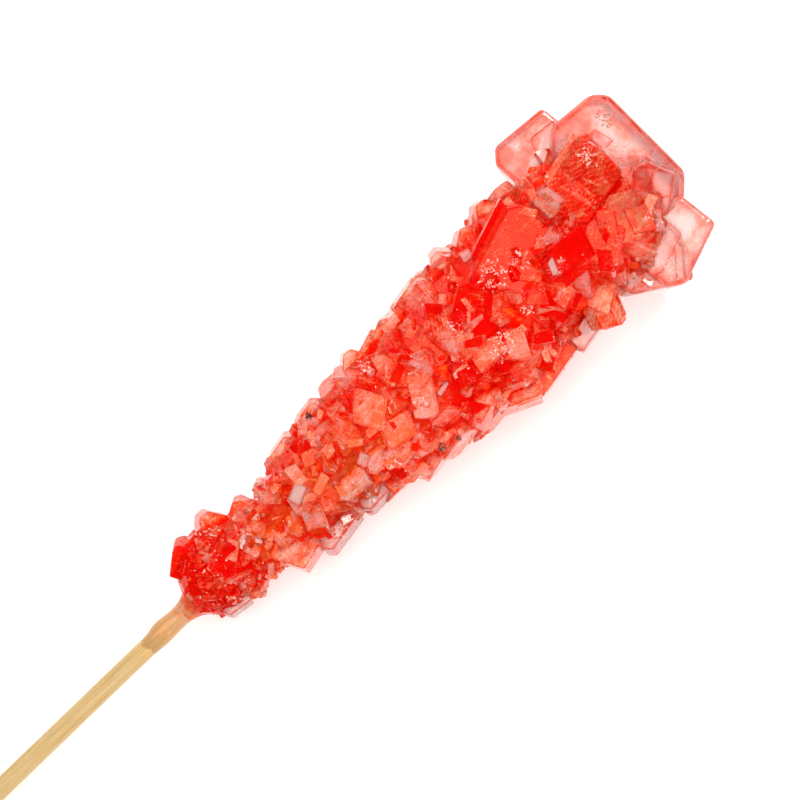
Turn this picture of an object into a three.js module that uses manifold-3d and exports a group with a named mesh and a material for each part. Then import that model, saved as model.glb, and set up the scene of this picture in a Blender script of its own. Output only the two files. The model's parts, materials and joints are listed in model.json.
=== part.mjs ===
// Rock candy on a bamboo skewer, lying on a table: a crust of intergrown sugar crystals that widens
// from a narrow neck to a cluster of large crystals at the tip. Millimetres, +Z up, the table at z = 0.
import * as THREE from "three";
import { mergeVertices } from "three/addons/utils/BufferGeometryUtils.js";
import Module from "manifold-3d";

const wasm = await Module();
wasm.setup();

// ---- Driving dimensions. Stations are measured along the stick, from where the sugar starts.
const stickDiameter = 3.0;
const stickBareLength = 75; // from the cut end to station 0
const stickInCandy = 86; // how far the stick reaches into the sugar
const stickSides = 14;
const stickEndChamfer = 0.25;
const stickFlats = 3; // along the split bamboo, which is out of round by the share below
const stickUnevenness = 0.05;
const stickGap = 0.3; // between the stick and the sugar round it

const lyingTilt = 4.7; // degrees that the tip is raised, so that the cut end and the crystals touch the table
const tableSide = 400;

const collarEnd = 4; // hardened syrup, with no crystals on it, from the first reach to here
const coreCover = 0.3; // share of a crystal's length that lies above the core
const coreSides = 12;
const boreMouth = 4; // how far the bore's cutter runs out of the collar

// How far the crystals reach from the stick's axis: station, on the left side (+Y), on the right side.
const reaches = [
  [1.9, 2.1, 2.2],
  [3.8, 2.3, 2.5],
  [4.7, 4.6, 2.9],
  [7, 7.6, 5.4],
  [13, 8.2, 5.6],
  [16, 6.7, 6.0],
  [20, 6.0, 7.4],
  [24, 7.6, 8.6],
  [30, 8.8, 8.4],
  [36, 9.6, 8.9],
  [42, 10.3, 10.6],
  [50, 10.9, 12.0],
  [60, 12.3, 13.1],
  [72, 12.9, 12.6],
  [79, 11.9, 10.6],
  [84, 12.4, 12.2],
  [90, 12.2, 12.0],
  [95, 10.5, 10.0],
  [96.5, 6, 6],
];
// How long the crystals grow: station, usual length.
const lengths = [
  [5, 3.2],
  [15, 4.1],
  [40, 5.7],
  [65, 7.0],
  [96, 8.6],
];

// The crust's crystals are laid ring by ring, each with its own size and turn.
const crust = {
  seed: 90210,
  firstStation: 5.6,
  lastStation: 93,
  ringStep: 0.72, // of the usual length
  roundStep: 0.86, // of the usual length, round the stick
  roundJitter: 0.6, // of the way to the next crystal round the stick
  fewestInRing: 6,
  middleDepth: 0.33, // of the usual length, from the reach in to the crystals' centres
  sizeSpread: [0.68, 1.22],
  widthShare: [0.5, 0.85],
  thicknessShare: [0.45, 0.85],
  leanOutward: 66, // degrees, at most, between the broad face and straight outward
  standOut: [-0.1, 0.06], // of the length, that the outermost corner stands over the reach
  clearOfLarge: 0.4, // of a large crystal's length: nothing is grown this near its centre
};

// Monoclinic sugar crystal: a leaning rectangle with two corners cut off, given a thickness.
const lean = 0.22;
const cornerCut = 0.26;
const edgeBevel = 0.09; // of the thickness, on the large crystals
const tipBlunt = 0.14; // of the width, off the other two corners of the crystal across the tip

// Large crystals that stand out of the crust. at: station, sideways, up from the stick's axis.
// size: length, width, thickness. turn: degrees about up, about the stick, about sideways.
const largeCrystals = [
  { at: [91.4, 3.2, -1.0], size: [20.8, 12.6, 11], turn: [91, 0, 4], lean: 0.08, blunt: tipBlunt }, // across the tip
  { at: [86.2, -9.5, -2.0], size: [11.5, 10, 9], turn: [-31, 4, 4] },
  { at: [90.1, -10.6, 0.5], size: [12, 8.5, 8], turn: [20, -4, -6] },
  { at: [85.1, 12.6, -1.5], size: [11.0, 8.6, 8], turn: [5, 176, 5] },
  { at: [85.6, 5.3, 7.6], size: [10.6, 8.2, 8], turn: [13, 5, -10] }, // front block
  { at: [71.0, 5.6, 8.0], size: [13, 6.8, 6], turn: [20, 20, -3] }, // long prism
  { at: [79.0, 6.0, 10.6], size: [3.6, 2.4, 3.4], turn: [98, 8, 10] },
  { at: [75.9, -1.4, 8.6], size: [7.2, 5.2, 5], turn: [-2, 14, 4] },
  { at: [81.2, -3.8, 8.2], size: [6.6, 5.6, 5], turn: [35, -14, 6] },
  { at: [86.3, -2.9, 7.4], size: [7.4, 5.6, 5.6], turn: [70, -8, -10] },
  { at: [76.3, -8.2, 3.0], size: [9.2, 5.6, 6.6], turn: [72, 10, -6] },
  { at: [71.5, -10.4, 2.0], size: [4.8, 3.4, 4.4], turn: [26, -14, 8] },
  { at: [61.8, 3.4, 10.0], size: [6.4, 4.8, 4.6], turn: [34, 10, -8] },
  { at: [59.0, -3.4, 10.6], size: [4.8, 2.8, 3.6], turn: [-2, -8, 6] },
  { at: [62.5, -5.1, 9.6], size: [4.6, 3.4, 3.8], turn: [62, -16, -6] },
  { at: [52.4, -7.0, 5.4], size: [7.0, 5.0, 5.2], turn: [-62, -20, 4] },
  { at: [58.4, -10.2, 1.6], size: [8.0, 4.8, 5.4], turn: [-24, -14, 4] },
  { at: [65.0, -10.3, -0.5], size: [9.5, 5.4, 6.2], turn: [11, -6, -4] },
  { at: [41.8, 2.1, 7.6], size: [4.9, 4.6, 4.2], turn: [42, 4, 4] },
  { at: [42.5, -2.5, 7.8], size: [4.8, 3.8, 3.8], turn: [-14, -6, -6] },
  { at: [36.4, 2.6, 7.0], size: [5.0, 4.6, 4.0], turn: [8, 4, -8] },
  { at: [41.0, -7.4, 1.0], size: [5.4, 4.6, 4.8], turn: [-50, -8, 6] },
  { at: [33.3, -6.4, 2.0], size: [4.8, 4.2, 4.2], turn: [5, -16, 4] },
  { at: [32.6, -3.7, 5.6], size: [5.2, 3.0, 3.6], turn: [-4, -12, -4] },
  { at: [26.3, -6.4, 1.4], size: [7.6, 4.2, 4.4], turn: [12, -18, 6] },
  { at: [20.0, -4.5, 2.6], size: [6.6, 5.4, 5.0], turn: [-62, -14, 4] },
  { at: [17.6, 4.6, 0.6], size: [4.2, 3.6, 3.8], turn: [30, 10, -8] },
  { at: [13.0, 6.0, 0.4], size: [4.9, 4.6, 4.4], turn: [44, 14, 10] },
  { at: [11.8, 1.4, 4.6], size: [4.8, 4.2, 4.0], turn: [24, 4, 6] },
  { at: [7.3, 5.2, 0.8], size: [5.2, 4.6, 4.6], turn: [40, 16, -12] },
  { at: [8.2, -3.9, 0.8], size: [4.6, 3.4, 3.8], turn: [-6, -12, 8] },
  { at: [11.7, -4.4, 0.2], size: [3.2, 2.8, 3.2], turn: [28, -10, -10] },
  { at: [77.0, 9.8, 0.4], size: [5.2, 4.4, 5], turn: [48, 6, -8] },
  { at: [72.9, 10.2, 1.0], size: [6.0, 4.8, 5], turn: [50, 10, 6] },
  { at: [68.4, 9.6, -0.6], size: [5.2, 4.6, 5], turn: [34, 6, 8] },
  { at: [63.7, 9.8, 0.8], size: [5.4, 4.4, 5], turn: [56, 12, -6] },
  { at: [57.6, 9.2, 0.0], size: [6.4, 5.2, 5.0], turn: [10, 8, 4] },
  { at: [50.8, 8.4, 0.4], size: [5.0, 4.4, 4.4], turn: [28, 8, -4] },
  { at: [44.2, 8.4, 0.6], size: [5.0, 4.2, 4.4], turn: [44, 8, 4] },
  { at: [34.8, 7.2, 0.4], size: [4.6, 4.2, 4.4], turn: [10, 14, -6] },
  { at: [28.6, 6.3, 0.2], size: [5.0, 4.2, 4.4], turn: [12, 10, -6] },
  { at: [92.4, -2.4, 4.8], size: [7.4, 6, 5.4], turn: [40, 12, -14] },
  { at: [90.2, -1.4, -7.4], size: [11, 8.4, 8], turn: [64, -6, 10] },
  { at: [81.6, 0.8, -9.4], size: [9.4, 6.6, 7], turn: [78, 8, -6] },
  { at: [73.0, -4.2, -9.0], size: [9, 6.2, 6.4], turn: [-38, 10, 6] },
  { at: [84.0, -5.2, -10.5], size: [8.6, 6.6, 8.4], turn: [-30, 0, lyingTilt] }, // lies on the table
  { at: [78.0, 6.2, -10.2], size: [8.2, 6.2, 8.0], turn: [25, 0, lyingTilt] }, // lies on the table
];

const bamboo = new THREE.MeshStandardMaterial({ color: 0xe8c88c, roughness: 0.62, metalness: 0 });
const sugar = new THREE.MeshStandardMaterial({ color: 0xe9472e, roughness: 0.16, metalness: 0 });

const degrees = THREE.MathUtils.degToRad;

// Straight lines between the listed stations.
function valueAt(table, station, column = 1) {
  const last = table.length - 1;
  if (station <= table[0][0]) return table[0][column];
  if (station >= table[last][0]) return table[last][column];
  const i = table.findIndex((row) => row[0] > station);
  const [before, after] = [table[i - 1], table[i]];
  return THREE.MathUtils.mapLinear(station, before[0], after[0], before[column], after[column]);
}

// The angle goes round the stick, from the left side towards the top.
function reachAt(station, angle) {
  const leftness = (1 + Math.cos(angle)) / 2;
  return THREE.MathUtils.lerp(valueAt(reaches, station, 2), valueAt(reaches, station, 1), leftness);
}

// The same numbers from 0 to 1 on every run.
function seededDraws(seed) {
  let state = seed;
  return () => {
    state = (state * 1664525 + 1013904223) % 4294967296;
    return state / 4294967296;
  };
}

function toSolid(geometry) {
  const bare = geometry.index ? geometry.toNonIndexed() : geometry.clone();
  bare.deleteAttribute("normal");
  bare.deleteAttribute("uv");
  const merged = mergeVertices(bare, 1e-4);
  return new wasm.Manifold(
    new wasm.Mesh({
      numProp: 3,
      vertProperties: new Float32Array(merged.attributes.position.array),
      triVerts: new Uint32Array(merged.index.array),
    }),
  );
}

function toGeometry(solid) {
  const mesh = solid.getMesh();
  const geometry = new THREE.BufferGeometry();
  geometry.setAttribute("position", new THREE.BufferAttribute(mesh.vertProperties, 3));
  geometry.setIndex(new THREE.BufferAttribute(mesh.triVerts, 1));
  geometry.computeVertexNormals();
  return geometry;
}

// ---- Bamboo skewer, along +X from its cut end.
function stickGeometry() {
  const radius = stickDiameter / 2;
  const outline = Array.from({ length: stickSides }, (_, i) => {
    const angle = (i / stickSides) * 2 * Math.PI;
    const r = radius * (1 - stickUnevenness * Math.sin((stickFlats * angle) / 2) ** 2);
    return new THREE.Vector2(r * Math.cos(angle), r * Math.sin(angle));
  });
  const geometry = new THREE.ExtrudeGeometry(new THREE.Shape(outline), {
    depth: stickBareLength + stickInCandy - 2 * stickEndChamfer,
    bevelThickness: stickEndChamfer,
    bevelSize: stickEndChamfer,
    bevelOffset: -stickEndChamfer,
    bevelSegments: 1,
  });
  geometry.rotateY(Math.PI / 2);
  return geometry.translate(stickEndChamfer - stickBareLength, 0, 0);
}

// ---- One crystal, centred on the origin, with its length along X and its thickness along Z.
function crystalGeometry([length, width, thickness], bevel = 0, leaning = lean, blunt = 0) {
  const [a, b] = [length / 2, width / 2];
  const shift = leaning * b;
  const cut = cornerCut * width;
  const small = blunt * width;
  const tip = a + shift * (1 - 2 * cornerCut);
  const corner = [[a - shift, -b]];
  const bluntCorner = [
    [a - shift - small, -b],
    [a - shift + leaning * small, small - b],
  ];
  const cutCorner = [
    [tip, b - cut],
    [a + shift - cut, b],
  ];
  const half = [...(blunt > 0 ? bluntCorner : corner), ...cutCorner];
  const outline = [...half, ...half.map(([x, y]) => [-x, -y])].map(([x, y]) => new THREE.Vector2(x, y));
  const geometry = new THREE.ExtrudeGeometry(new THREE.Shape(outline), {
    depth: thickness - 2 * bevel,
    bevelEnabled: bevel > 0,
    bevelThickness: bevel,
    bevelSize: bevel,
    bevelOffset: -bevel,
    bevelSegments: 1,
  });
  return geometry.translate(0, 0, bevel - thickness / 2);
}

function largeCrystalSolids() {
  return largeCrystals.map(({ at, size, turn, lean: leaning, blunt }) => {
    const [aboutUp, aboutStick, aboutSideways] = turn.map(degrees);
    const euler = new THREE.Euler(aboutStick, aboutSideways, aboutUp, "XYZ");
    const geometry = crystalGeometry(size, edgeBevel * size[2], leaning, blunt);
    geometry.applyMatrix4(new THREE.Matrix4().makeRotationFromEuler(euler));
    return toSolid(geometry.translate(...at));
  });
}

function isClearOfLarge(place) {
  return largeCrystals.every(({ at, size }) => {
    return place.distanceTo(new THREE.Vector3(...at)) > crust.clearOfLarge * size[0];
  });
}

// Outermost corner of a crystal in a direction.
function standOf(geometry, outward) {
  const corner = new THREE.Vector3();
  let most = 0;
  for (let i = 0; i < geometry.attributes.position.count; i++) {
    corner.fromBufferAttribute(geometry.attributes.position, i);
    most = Math.max(most, corner.dot(outward));
  }
  return most;
}

function crustSolids() {
  const draw = seededDraws(crust.seed);
  const between = ([low, high]) => low + (high - low) * draw();
  const solids = [];
  let station = crust.firstStation;
  while (station < crust.lastStation) {
    const usual = valueAt(lengths, station);
    const reach = (reachAt(station, 0) + reachAt(station, Math.PI)) / 2;
    const round = 2 * Math.PI * (reach - crust.middleDepth * usual);
    const count = Math.max(crust.fewestInRing, Math.round(round / (crust.roundStep * usual)));
    const offset = draw();
    for (let i = 0; i < count; i++) {
      const angle = ((i + offset + crust.roundJitter * (draw() - 0.5)) / count) * 2 * Math.PI;
      const along = station + crust.ringStep * usual * (draw() - 0.5);
      const length = usual * between(crust.sizeSpread);
      const size = [length, length * between(crust.widthShare), length * between(crust.thicknessShare)];
      const spin = 2 * Math.PI * draw();
      const towards = 2 * Math.PI * draw();
      const tip = degrees(crust.leanOutward) * draw();
      const stand = length * between(crust.standOut);
      const hinge = new THREE.Vector3(Math.cos(towards), Math.sin(towards), 0);
      const geometry = crystalGeometry(size);
      geometry.rotateZ(spin);
      geometry.applyQuaternion(new THREE.Quaternion().setFromAxisAngle(hinge, tip));
      geometry.rotateX(angle - Math.PI / 2);
      const outward = new THREE.Vector3(0, Math.cos(angle), Math.sin(angle));
      const radius = reachAt(along, angle) + stand - standOf(geometry, outward);
      const place = outward.multiplyScalar(radius).setX(along);
      if (isClearOfLarge(place)) solids.push(toSolid(geometry.translate(place.x, place.y, place.z)));
    }
    station += crust.ringStep * usual;
  }
  return solids;
}

// ---- The sugar under the crystals, turned about the stick.
function coreSolid() {
  const stations = reaches.slice(0, -1).map(([station]) => station);
  const profile = [
    new THREE.Vector2(0, stations[0]),
    ...stations.map((station) => new THREE.Vector2(1, station)),
    new THREE.Vector2(0, stations.at(-1)),
  ];
  const geometry = new THREE.LatheGeometry(profile, coreSides);
  geometry.rotateZ(-Math.PI / 2);
  const corner = new THREE.Vector3();
  for (let i = 0; i < geometry.attributes.position.count; i++) {
    corner.fromBufferAttribute(geometry.attributes.position, i);
    const { x, y, z } = corner;
    const isOnAxis = Math.hypot(y, z) < 0.5;
    if (isOnAxis) continue;
    const cover = x < collarEnd ? 0 : coreCover * valueAt(lengths, x);
    const radius = reachAt(x, Math.atan2(z, y)) - cover;
    geometry.attributes.position.setXYZ(i, x, y * radius, z * radius);
  }
  return toSolid(geometry);
}

// ---- Room for the stick, open at the neck.
function boreSolid() {
  const radius = stickDiameter / 2 + stickGap;
  const length = stickInCandy + stickGap + boreMouth;
  const geometry = new THREE.CylinderGeometry(radius, radius, length, stickSides);
  geometry.rotateZ(Math.PI / 2);
  return toSolid(geometry.translate(stickInCandy + stickGap - length / 2, 0, 0));
}

// ---- The table, in the candy's own frame: what would reach under it is a flat spot.
const tilt = degrees(lyingTilt);
const stickLying = stickGeometry().rotateY(-tilt);
stickLying.computeBoundingBox();
const neckHeight = -stickLying.boundingBox.min.z; // of the stick's axis at station 0
function tableSolid() {
  const box = new THREE.BoxGeometry(tableSide, tableSide, tableSide);
  box.translate(0, 0, -tableSide / 2 - neckHeight);
  return toSolid(box.rotateY(tilt));
}

// Only the outer skin: what the crystals shut in is filled, and loose scraps are dropped.
function outerSkin(solid) {
  const skins = solid.decompose();
  return skins.reduce((largest, skin) => (skin.volume() > largest.volume() ? skin : largest));
}

function candySolid() {
  const pieces = [coreSolid(), ...largeCrystalSolids(), ...crustSolids()];
  const fused = wasm.Manifold.union(pieces);
  return outerSkin(fused.subtract(boreSolid()).subtract(tableSolid()));
}

const stick = new THREE.Mesh(stickGeometry(), bamboo);
stick.name = "stick";
const candy = new THREE.Mesh(toGeometry(candySolid()), sugar);
candy.name = "candy";

const lying = new THREE.Group();
lying.add(stick, candy);
lying.rotation.y = -tilt;
lying.position.z = neckHeight;

// The origin is on the table, under the middle of the whole.
const rockCandy = new THREE.Group();
rockCandy.add(lying);
rockCandy.updateMatrixWorld(true);
const middle = new THREE.Box3().setFromObject(rockCandy, true).getCenter(new THREE.Vector3());
lying.position.x -= middle.x;
lying.position.y -= middle.y;

export default rockCandy;
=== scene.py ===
import bpy
import json
import math
from mathutils import Euler, Matrix, Vector

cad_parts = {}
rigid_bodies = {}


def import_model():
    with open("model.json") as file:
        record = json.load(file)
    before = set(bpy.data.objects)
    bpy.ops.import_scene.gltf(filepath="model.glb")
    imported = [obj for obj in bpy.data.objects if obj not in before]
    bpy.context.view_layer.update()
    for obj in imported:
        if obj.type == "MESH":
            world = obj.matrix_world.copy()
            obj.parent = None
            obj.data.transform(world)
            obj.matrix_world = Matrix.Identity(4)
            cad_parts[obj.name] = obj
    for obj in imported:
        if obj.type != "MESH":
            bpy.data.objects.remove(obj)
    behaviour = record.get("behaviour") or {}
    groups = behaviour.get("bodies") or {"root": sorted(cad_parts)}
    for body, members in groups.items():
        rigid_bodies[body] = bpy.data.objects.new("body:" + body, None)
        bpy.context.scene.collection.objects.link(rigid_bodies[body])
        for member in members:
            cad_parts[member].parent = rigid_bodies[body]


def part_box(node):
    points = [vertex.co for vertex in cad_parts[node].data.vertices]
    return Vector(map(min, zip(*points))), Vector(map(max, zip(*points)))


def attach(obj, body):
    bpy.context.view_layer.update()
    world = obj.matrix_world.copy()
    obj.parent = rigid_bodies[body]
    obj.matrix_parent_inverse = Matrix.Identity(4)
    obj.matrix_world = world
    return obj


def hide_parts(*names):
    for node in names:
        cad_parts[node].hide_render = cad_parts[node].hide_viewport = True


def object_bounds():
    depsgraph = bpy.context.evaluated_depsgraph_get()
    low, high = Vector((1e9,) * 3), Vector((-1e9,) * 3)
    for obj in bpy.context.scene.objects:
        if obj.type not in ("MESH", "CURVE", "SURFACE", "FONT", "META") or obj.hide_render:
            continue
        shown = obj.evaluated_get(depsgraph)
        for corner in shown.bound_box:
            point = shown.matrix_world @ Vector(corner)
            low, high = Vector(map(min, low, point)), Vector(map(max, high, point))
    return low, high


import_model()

cadLow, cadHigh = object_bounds()
mm = 0.001

# stations run along the stick from where the sugar starts, towards the tip
stickLow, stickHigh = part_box("stick")
stick = {
    "diameter": 3 * mm,
    "bareLength": 75 * mm,
    "inCandy": 86 * mm,
    "tilt": math.radians(4.7),  # the tip is raised
    "flats": 3,
    "unevenness": 0.05,
}
middleStation = (stick["inCandy"] - stick["bareLength"]) / 2
along = Vector((math.cos(stick["tilt"]), 0, math.sin(stick["tilt"])))
neck = (stickLow + stickHigh) / 2 - along * middleStation
stickToTable = Matrix.Translation(neck) @ Matrix.Rotation(-stick["tilt"], 4, "Y")
candyToTable = stickToTable @ Matrix.Scale(mm, 4)

camera = {
    "lens": 85,
    "sensor": 36,
    "frameWidth": 116.6 * mm,
    "aim": (45.6, 0.5),  # station and sideways, in the middle of the view
    "turn": math.radians(43.9),  # how far the stick is turned from level in the view
}
upward = Vector((-math.sin(stick["tilt"]), 0, math.cos(stick["tilt"])))
across = Vector((0, 1, 0))
cosTurn, sinTurn = math.cos(camera["turn"]), math.sin(camera["turn"])
toRight = along * cosTurn - across * sinTurn
toTop = along * sinTurn + across * cosTurn
aim = neck + along * camera["aim"][0] * mm + across * camera["aim"][1] * mm
cameraPlace = aim + upward * camera["frameWidth"] * camera["lens"] / camera["sensor"]

# each box: its direction from the candy (right, top and nearer in the view), distance, sides, radiance
softBoxes = {
    "mainBox": ((-0.2, 0.25, 1), 0.7, (0.62, 0.6), 3.85),
    "fillBox": ((0.9, -0.6, 0.8), 0.8, (0.6, 0.6), 3),
    "spark": ((0.35, 0.75, 0.9), 0.8, (0.14, 0.14), 28),
}


def placeTowards(direction, distance):
    right, top, nearer = direction
    return aim + (toRight * right + toTop * top + upward * nearer).normalized() * distance


def setMode(mode):
    bpy.ops.object.mode_set(mode=mode)


def selectAll():  # in edit mode
    bpy.ops.mesh.select_all(action="SELECT")


def deselectAll():
    if bpy.context.object and bpy.context.object.mode != "OBJECT":
        setMode("OBJECT")
    bpy.ops.object.select_all(action="DESELECT")


def pick(*pieces):
    deselectAll()
    for piece in pieces:
        piece.select_set(True)
    bpy.context.view_layer.objects.active = pieces[0]


def cutAway(point, normal):  # what lies outside the plane goes, and the cut is closed
    selectAll()
    bpy.ops.mesh.bisect(plane_co=point, plane_no=normal, use_fill=True, clear_outer=True)


def seeded(seed):  # each call of what this gives draws the next number
    state = seed

    def draw(low=0, high=1):
        nonlocal state
        state = (state * 1664525 + 1013904223) % 4294967296
        return low + (high - low) * (state / 4294967296)

    return draw


def drawMostlyLow(draw, low, high, power):
    return low + (high - low) * draw() ** power


def randomTurn(draw):
    return Euler([2 * math.pi * draw() for axis in range(3)]).to_matrix().to_4x4()


def valueAt(table, station, column=1):
    if station <= table[0][0]:
        return table[0][column]
    if station >= table[-1][0]:
        return table[-1][column]
    for before, after in zip(table, table[1:]):
        if after[0] > station:
            share = (station - before[0]) / (after[0] - before[0])
            return before[column] + share * (after[column] - before[column])


# the sugar's outline, in mm: station, reach on the left, reach on the right
reaches = [
    (1.9, 2.1, 2.2), (3.8, 2.3, 2.5), (4.7, 4.6, 2.9), (7, 7.6, 5.4), (13, 8.2, 5.6),
    (16, 6.7, 6), (20, 6, 7.4), (24, 7.6, 8.6), (30, 8.8, 8.4), (36, 9.6, 8.9),
    (42, 10.3, 10.6), (50, 10.9, 12), (60, 12.3, 13.1), (72, 12.9, 12.6), (79, 11.9, 10.6),
    (84, 12.4, 12.2), (90, 12.2, 12), (95, 10.5, 10), (96.5, 6, 6),
]
usualLengths = [(5, 3.2), (15, 4.1), (40, 5.7), (65, 7), (96, 8.6)]


def reachAt(station, angle):
    leftness = (1 + math.cos(angle)) / 2
    right = valueAt(reaches, station, 2)
    return right + leftness * (valueAt(reaches, station, 1) - right)


def outwardAt(angle):
    return Vector((0, math.cos(angle), math.sin(angle)))


crystal = {
    "lean": 0.22,
    "tipWidth": 0.62,
    "tipLean": 0.08,
    "tipBlunt": 0.14,  # of the width, off the other two corners
    "cornerCut": 0.26,  # of the width
    "sharpCut": 0.08,  # the same on the small ones
    "widths": (0.5, 0.62, 0.74, 0.86, 1),  # of the length, one shape each
    "edge": (0.035, 1),  # bevel, of the width, and its segments
    "softEdge": (0.085, 3),  # on the pale blocks round the tip
    "paintedEdgeShade": 0.42,  # painted shade along the edges: the bevels get this much more dye
    "thickness": 0.7,  # of the width, while it is cut
    "clearUnder": (0.06, 0.31),  # large ones with less dye are clear pieces: anywhere, near the tip
    "tipFrom": 80,  # station
    "softFrom": 10,  # length
}

crust = {
    "seed": 90210,
    "firstStation": 5.6,
    "lastStation": 93,
    "ringStep": 0.72,  # this and the next are shares of the usual length
    "roundStep": 0.86,
    "roundJitter": 0.6,
    "fewestInRing": 6,
    "middleDepth": 0.33,
    "sizeSpread": (0.68, 1.22),
    "widthShare": (0.5, 0.85),
    "thicknessShare": (0.45, 0.85),
    "leanOutward": 66,  # degrees at most
    "standOut": (-0.1, 0.06),
    "clearOfLarge": 0.4,
    "ledges": 2.2,
    "dye": (  # station, least, most
        (5, 0.85, 1.1), (9, 0.7, 1.1), (13, 0.35, 0.7), (20, 0.05, 0.4), (46, 0.1, 0.45),
        (56, 0.15, 0.8), (78, 0.15, 0.75), (82, 0.2, 0.55), (88, 0.3, 0.5), (91, 0.25, 0.4),
    ),
    "paler": (81, -3.5, 0.95),  # past this station and to the right of this the dye is this share
    "palerFrom": 89,  # past this station it is on both sides
}

# at, size, turn about up, about the stick and about sideways, dye: 0 is clear and 1 deep red
lyingTurn = math.degrees(stick["tilt"])
largeCrystals = [
    ((91.4, 3.2, -1), (20.8, 12.6, 11), (91, 0, 4), 0.19),  # across the tip
    ((86.2, -9.5, -2), (11.5, 10, 9), (-31, 4, 4), 0.18),
    ((90.1, -10.6, 0.5), (12, 8.5, 8), (20, -4, -6), 0.14),
    ((85.1, 12.6, -1.5), (11, 8.6, 8), (5, 176, 5), 0.3),
    ((85.6, 5.3, 7.6), (10.6, 8.2, 8), (13, 5, -10), 0.66),  # front block
    ((71, 5.6, 8), (13, 6.8, 6), (20, 20, -3), 0.75),  # long prism
    ((79, 6, 10.6), (3.6, 2.4, 3.4), (98, 8, 10), 0.3),
    ((75.9, -1.4, 8.6), (7.2, 5.2, 5), (-2, 14, 4), 1),
    ((81.2, -3.8, 8.2), (6.6, 5.6, 5), (35, -14, 6), 0.6),
    ((86.3, -2.9, 7.4), (7.4, 5.6, 5.6), (70, -8, -10), 0.4),
    ((76.3, -8.2, 3), (9.2, 5.6, 6.6), (72, 10, -6), 0.35),
    ((71.5, -10.4, 2), (4.8, 3.4, 4.4), (26, -14, 8), 0.03),
    ((61.8, 3.4, 10), (6.4, 4.8, 4.6), (34, 10, -8), 0.85),
    ((59, -3.4, 10.6), (4.8, 2.8, 3.6), (-2, -8, 6), 0.75),
    ((62.5, -5.1, 9.6), (4.6, 3.4, 3.8), (62, -16, -6), 0.55),
    ((52.4, -7, 5.4), (7, 5, 5.2), (-62, -20, 4), 0.45),
    ((58.4, -10.2, 1.6), (8, 4.8, 5.4), (-24, -14, 4), 0.25),
    ((65, -10.3, -0.5), (9.5, 5.4, 6.2), (11, -6, -4), 0.6),
    ((41.8, 2.1, 7.6), (4.9, 4.6, 4.2), (42, 4, 4), 0.42),
    ((42.5, -2.5, 7.8), (4.8, 3.8, 3.8), (-14, -6, -6), 0.5),
    ((36.4, 2.6, 7), (5, 4.6, 4), (8, 4, -8), 0.5),
    ((41, -7.4, 1), (5.4, 4.6, 4.8), (-50, -8, 6), 0.15),
    ((33.3, -6.4, 2), (4.8, 4.2, 4.2), (5, -16, 4), 0.04),
    ((32.6, -3.7, 5.6), (5.2, 3, 3.6), (-4, -12, -4), 0.2),
    ((26.3, -6.4, 1.4), (7.6, 4.2, 4.4), (12, -18, 6), 0),
    ((20, -4.5, 2.6), (6.6, 5.4, 5), (-62, -14, 4), 0.35),
    ((17.6, 4.6, 0.6), (4.2, 3.6, 3.8), (30, 10, -8), 0.5),
    ((13, 6, 0.4), (4.9, 4.6, 4.4), (44, 14, 10), 0.5),
    ((11.8, 1.4, 4.6), (4.8, 4.2, 4), (24, 4, 6), 0.85),
    ((7.3, 5.2, 0.8), (5.2, 4.6, 4.6), (40, 16, -12), 0.8),
    ((8.2, -3.9, 0.8), (4.6, 3.4, 3.8), (-6, -12, 8), 0.05),
    ((11.7, -4.4, 0.2), (3.2, 2.8, 3.2), (28, -10, -10), 0.3),
    ((77, 9.8, 0.4), (5.2, 4.4, 5), (48, 6, -8), 0.25),
    ((72.9, 10.2, 1), (6, 4.8, 5), (50, 10, 6), 0.22),
    ((68.4, 9.6, -0.6), (5.2, 4.6, 5), (34, 6, 8), 0.22),
    ((63.7, 9.8, 0.8), (5.4, 4.4, 5), (56, 12, -6), 0.15),
    ((57.6, 9.2, 0), (6.4, 5.2, 5), (10, 8, 4), 0.2),
    ((50.8, 8.4, 0.4), (5, 4.4, 4.4), (28, 8, -4), 0.2),
    ((44.2, 8.4, 0.6), (5, 4.2, 4.4), (44, 8, 4), 0.2),
    ((34.8, 7.2, 0.4), (4.6, 4.2, 4.4), (10, 14, -6), 0.2),
    ((28.6, 6.3, 0.2), (5, 4.2, 4.4), (12, 10, -6), 0.2),
    ((92.4, -2.4, 4.8), (7.4, 6, 5.4), (40, 12, -14), 0.2),
    ((90.2, -1.4, -7.4), (11, 8.4, 8), (64, -6, 10), 0.32),
    ((81.6, 0.8, -9.4), (9.4, 6.6, 7), (78, 8, -6), 0.5),
    ((73, -4.2, -9), (9, 6.2, 6.4), (-38, 10, 6), 0.6),
    ((84, -5.2, -10.5), (8.6, 6.6, 8.4), (-30, 0, lyingTurn), 0.32),  # lies on the table
    ((78, 6.2, -10.2), (8.2, 6.2, 8), (25, 0, lyingTurn), 0.5),  # lies on the table
]


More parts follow.
